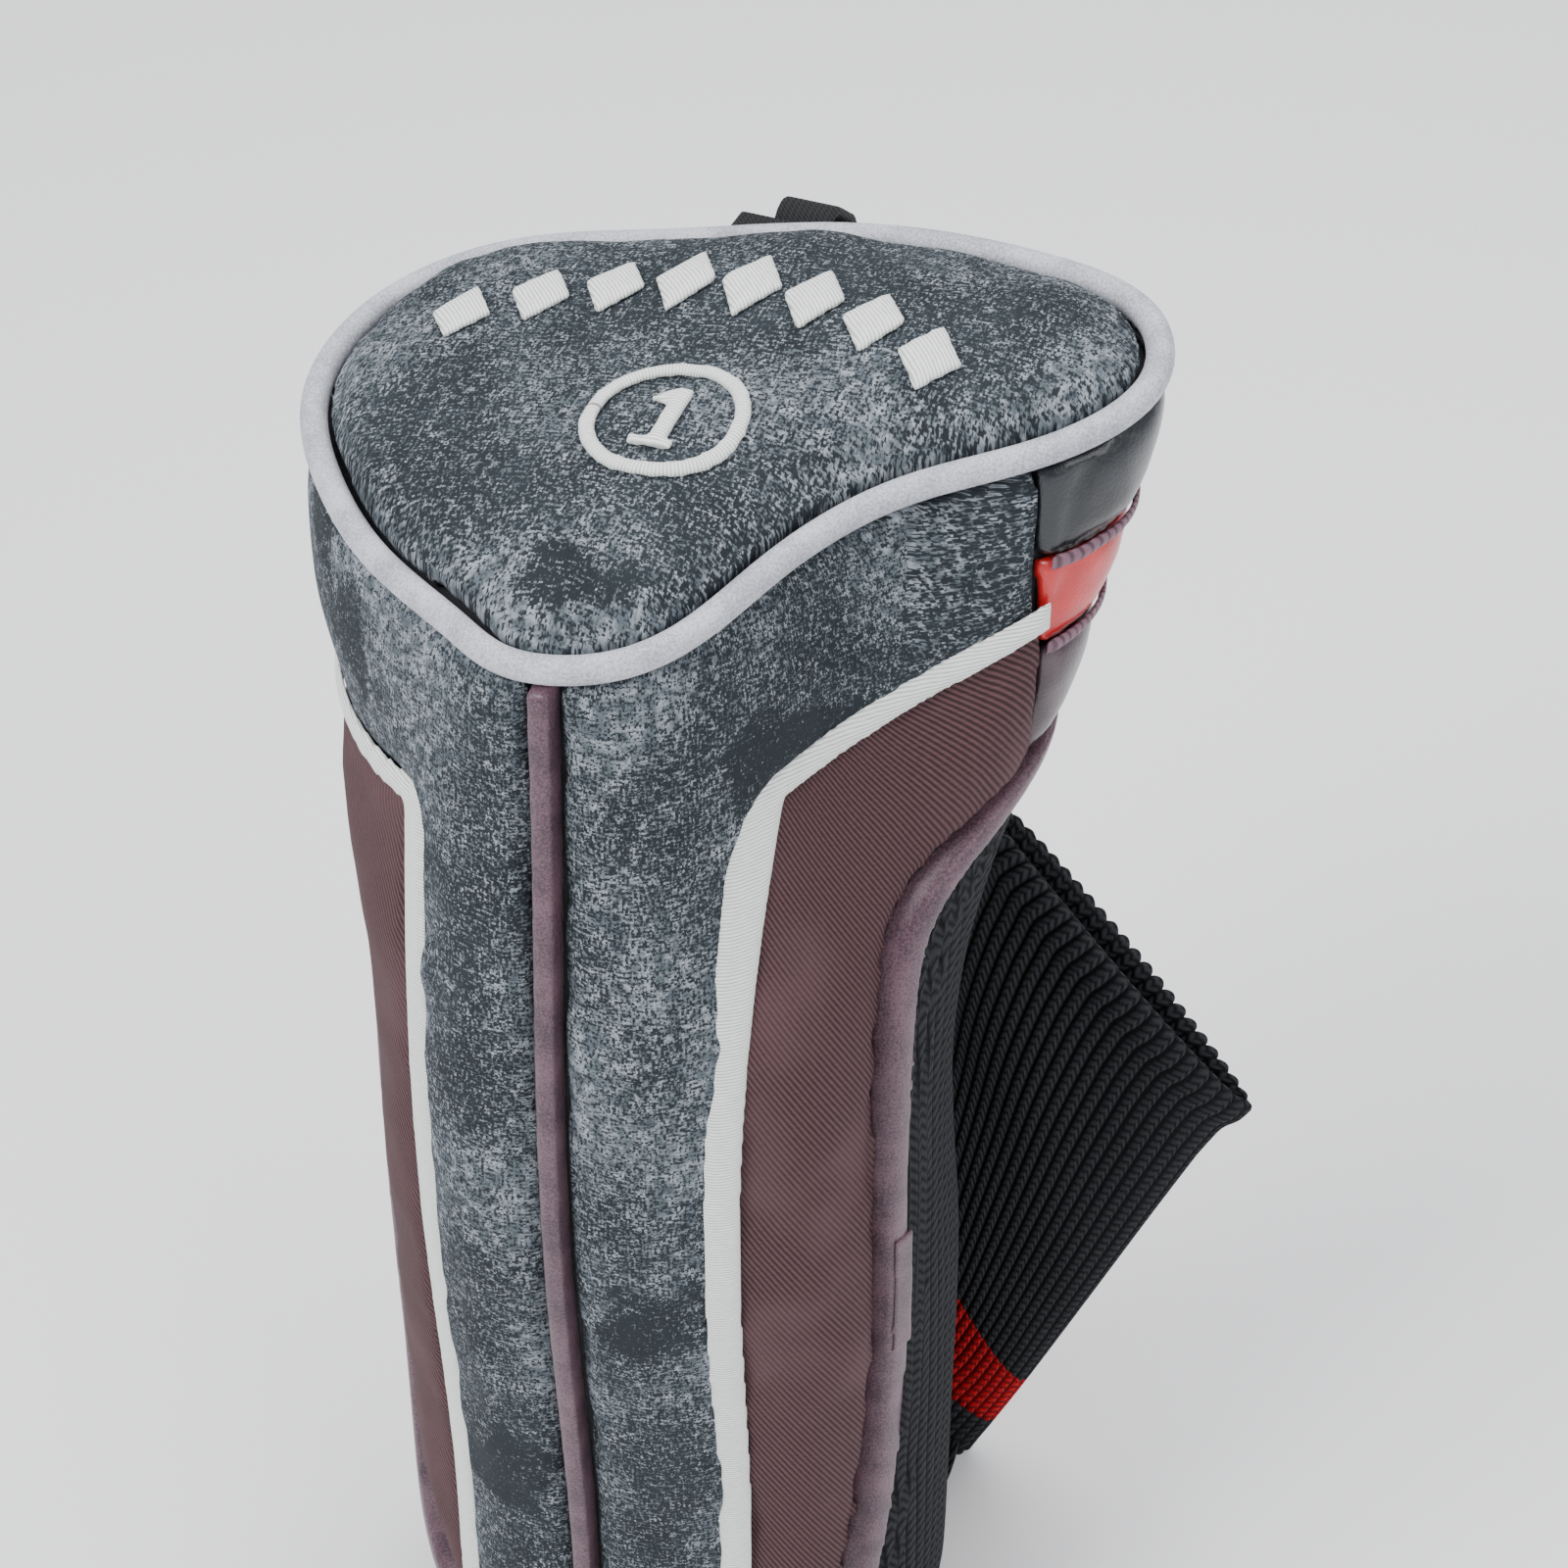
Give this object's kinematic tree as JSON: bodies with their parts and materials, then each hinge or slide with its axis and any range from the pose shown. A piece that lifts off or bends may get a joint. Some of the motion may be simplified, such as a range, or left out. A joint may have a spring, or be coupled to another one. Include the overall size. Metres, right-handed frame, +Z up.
{
  "type": "driver head cover",
  "caption": "Padded golf driver head cover with a woven cap, piped panels, a glossy back band, a ribbed knit sock with a fold-up neck, and a pull loop.",
  "frame": {"origin": "middle of the flat base ring, on the surface that the cover stands on", "axes": "+Z up to the cap, -Y towards the front centre seam, +X towards the right ear"},
  "size_m": [0.1551, 0.1356, 0.2861],
  "materials": {
    "grey_tweed": "worn grey woven face fabric",
    "foam": "soft open-cell foam",
    "lining": "brushed black lining",
    "white_piping": "white corded piping",
    "plum_satin": "plum satin-covered cord",
    "plum_twill": "plum twill",
    "white_thread": "white satin-stitch embroidery",
    "black_gloss": "glossy black synthetic leather",
    "red_gloss": "glossy red synthetic leather",
    "plum_gloss": "glossy plum synthetic leather",
    "plum_thread": "plum zigzag thread",
    "black_knit": "black ribbed knit",
    "red_knit": "red ribbed knit",
    "black_webbing": "black woven webbing"
  },
  "bodies": {
    "cover": {"cap_fabric": "grey_tweed", "cap_padding": "foam", "cap_lining": "lining", "cap_piping": "white_piping", "front_panel_left": "grey_tweed", "front_panel_right": "grey_tweed", "centre_piping": "plum_satin", "side_panel_left": "plum_twill", "side_panel_right": "plum_twill", "border_left": "white_thread", "border_right": "white_thread", "band_black_left": "black_gloss", "band_black_right": "black_gloss", "band_red_left": "red_gloss", "band_red_right": "red_gloss", "band_mauve_left": "plum_gloss", "band_mauve_right": "plum_gloss", "zigzag_upper": "plum_thread", "zigzag_lower": "plum_thread", "edge_piping": "plum_satin", "piping_splice": "plum_satin", "shell_lining": "lining", "knit_base": "black_knit", "knit_bag": "black_knit", "knit_back": "black_knit", "loop_tab": "black_webbing", "emblem_ring": "white_thread", "emblem_number": "white_thread", "emblem_argyle": "white_thread"},
    "neck": {"neck_lower": "black_knit", "neck_stripe": "red_knit", "neck_upper": "black_knit", "neck_hem": "black_knit"},
    "loop": {"pull_loop": "black_webbing"}
  },
  "joints": [
    {"name": "neck_fold", "type": "hinge", "parent": "cover", "child": "neck", "pos_m": [0.0125, 0.045, 0], "axis": [-1, 0, 0], "range_deg": [0, 180]},
    {"name": "loop_flop", "type": "hinge", "parent": "cover", "child": "loop", "pos_m": [-0.0055, 0.0697, 0.27218], "axis": [1, 0, 0], "range_deg": [-2, 88]}
  ]
}
